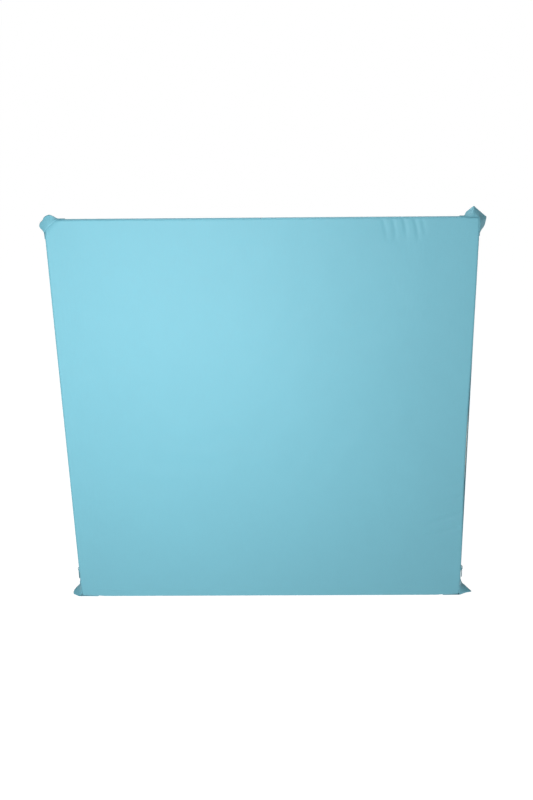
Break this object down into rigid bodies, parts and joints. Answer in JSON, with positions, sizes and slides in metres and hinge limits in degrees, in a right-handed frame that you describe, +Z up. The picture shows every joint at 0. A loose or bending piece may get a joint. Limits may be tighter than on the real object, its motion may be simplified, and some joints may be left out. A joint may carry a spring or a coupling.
{
  "type": "folding gym mat",
  "caption": "Thin square foam exercise mat in a woven cloth cover, folding in half along a centre line, with zipped edges and a strap loop at each corner.",
  "frame": {"origin": "on the floor below the middle of the opened mat, halfway through its thickness", "axes": "+X along the width towards the right half, -Y out of the front face, +Z up the mat as it stands on its bottom edge"},
  "size_m": [1.0468, 0.03, 1.0202],
  "materials": {
    "cover_cloth": "matte",
    "strap_cloth": "matte",
    "foam": "matte",
    "zip_tape": "matte",
    "zip_coil": "satin",
    "zip_metal": "satin"
  },
  "bodies": {
    "left_half": {"left_face_panel": "cover_cloth", "left_back_panel": "cover_cloth", "left_foam_core": "foam", "left_fold_wall": "cover_cloth", "left_top_band": "cover_cloth", "left_bottom_band": "cover_cloth", "left_zip_band_front": "cover_cloth", "left_zip_tape_front": "zip_tape", "left_zip_coil_front": "zip_coil", "left_zip_top_stop_front": "zip_metal", "left_zip_band_back": "cover_cloth", "left_zip_tape_back": "zip_tape", "left_zip_coil_back": "zip_coil", "left_zip_top_stop_back": "zip_metal", "left_zip_bottom_stop": "zip_metal", "left_top_corner_loop": "strap_cloth", "left_bottom_corner_loop": "strap_cloth"},
    "right_half": {"right_face_panel": "cover_cloth", "right_back_panel": "cover_cloth", "right_foam_core": "foam", "right_fold_wall": "cover_cloth", "right_top_band": "cover_cloth", "right_bottom_band": "cover_cloth", "right_zip_band_front": "cover_cloth", "right_zip_tape_front": "zip_tape", "right_zip_coil_front": "zip_coil", "right_zip_top_stop_front": "zip_metal", "right_zip_band_back": "cover_cloth", "right_zip_tape_back": "zip_tape", "right_zip_coil_back": "zip_coil", "right_zip_top_stop_back": "zip_metal", "right_zip_bottom_stop": "zip_metal", "right_top_corner_loop": "strap_cloth", "right_bottom_corner_loop": "strap_cloth"},
    "left_slider": {"left_zip_slider": "zip_metal"},
    "left_pull": {"left_zip_pull": "zip_metal"},
    "right_slider": {"right_zip_slider": "zip_metal"},
    "right_pull": {"right_zip_pull": "zip_metal"}
  },
  "joints": [
    {"name": "fold", "type": "hinge", "parent": "left_half", "child": "right_half", "pos_m": [0, -0.0153, 0.5], "axis": [0, 0, -1], "range_deg": [0, 180]},
    {"name": "left_zip_slide", "type": "slide", "parent": "left_half", "child": "left_slider", "axis": [0, 0, 1], "range_m": [0, 0.847]},
    {"name": "left_pull_swing", "type": "hinge", "parent": "left_slider", "child": "left_pull", "pos_m": [-0.50335, 0, 0.07425], "axis": [0, 1, 0], "range_deg": [0, 175]},
    {"name": "right_zip_slide", "type": "slide", "parent": "right_half", "child": "right_slider", "axis": [0, 0, 1], "range_m": [0, 0.847]},
    {"name": "right_pull_swing", "type": "hinge", "parent": "right_slider", "child": "right_pull", "pos_m": [0.50335, 0, 0.07425], "axis": [0, -1, 0], "range_deg": [0, 175]}
  ]
}
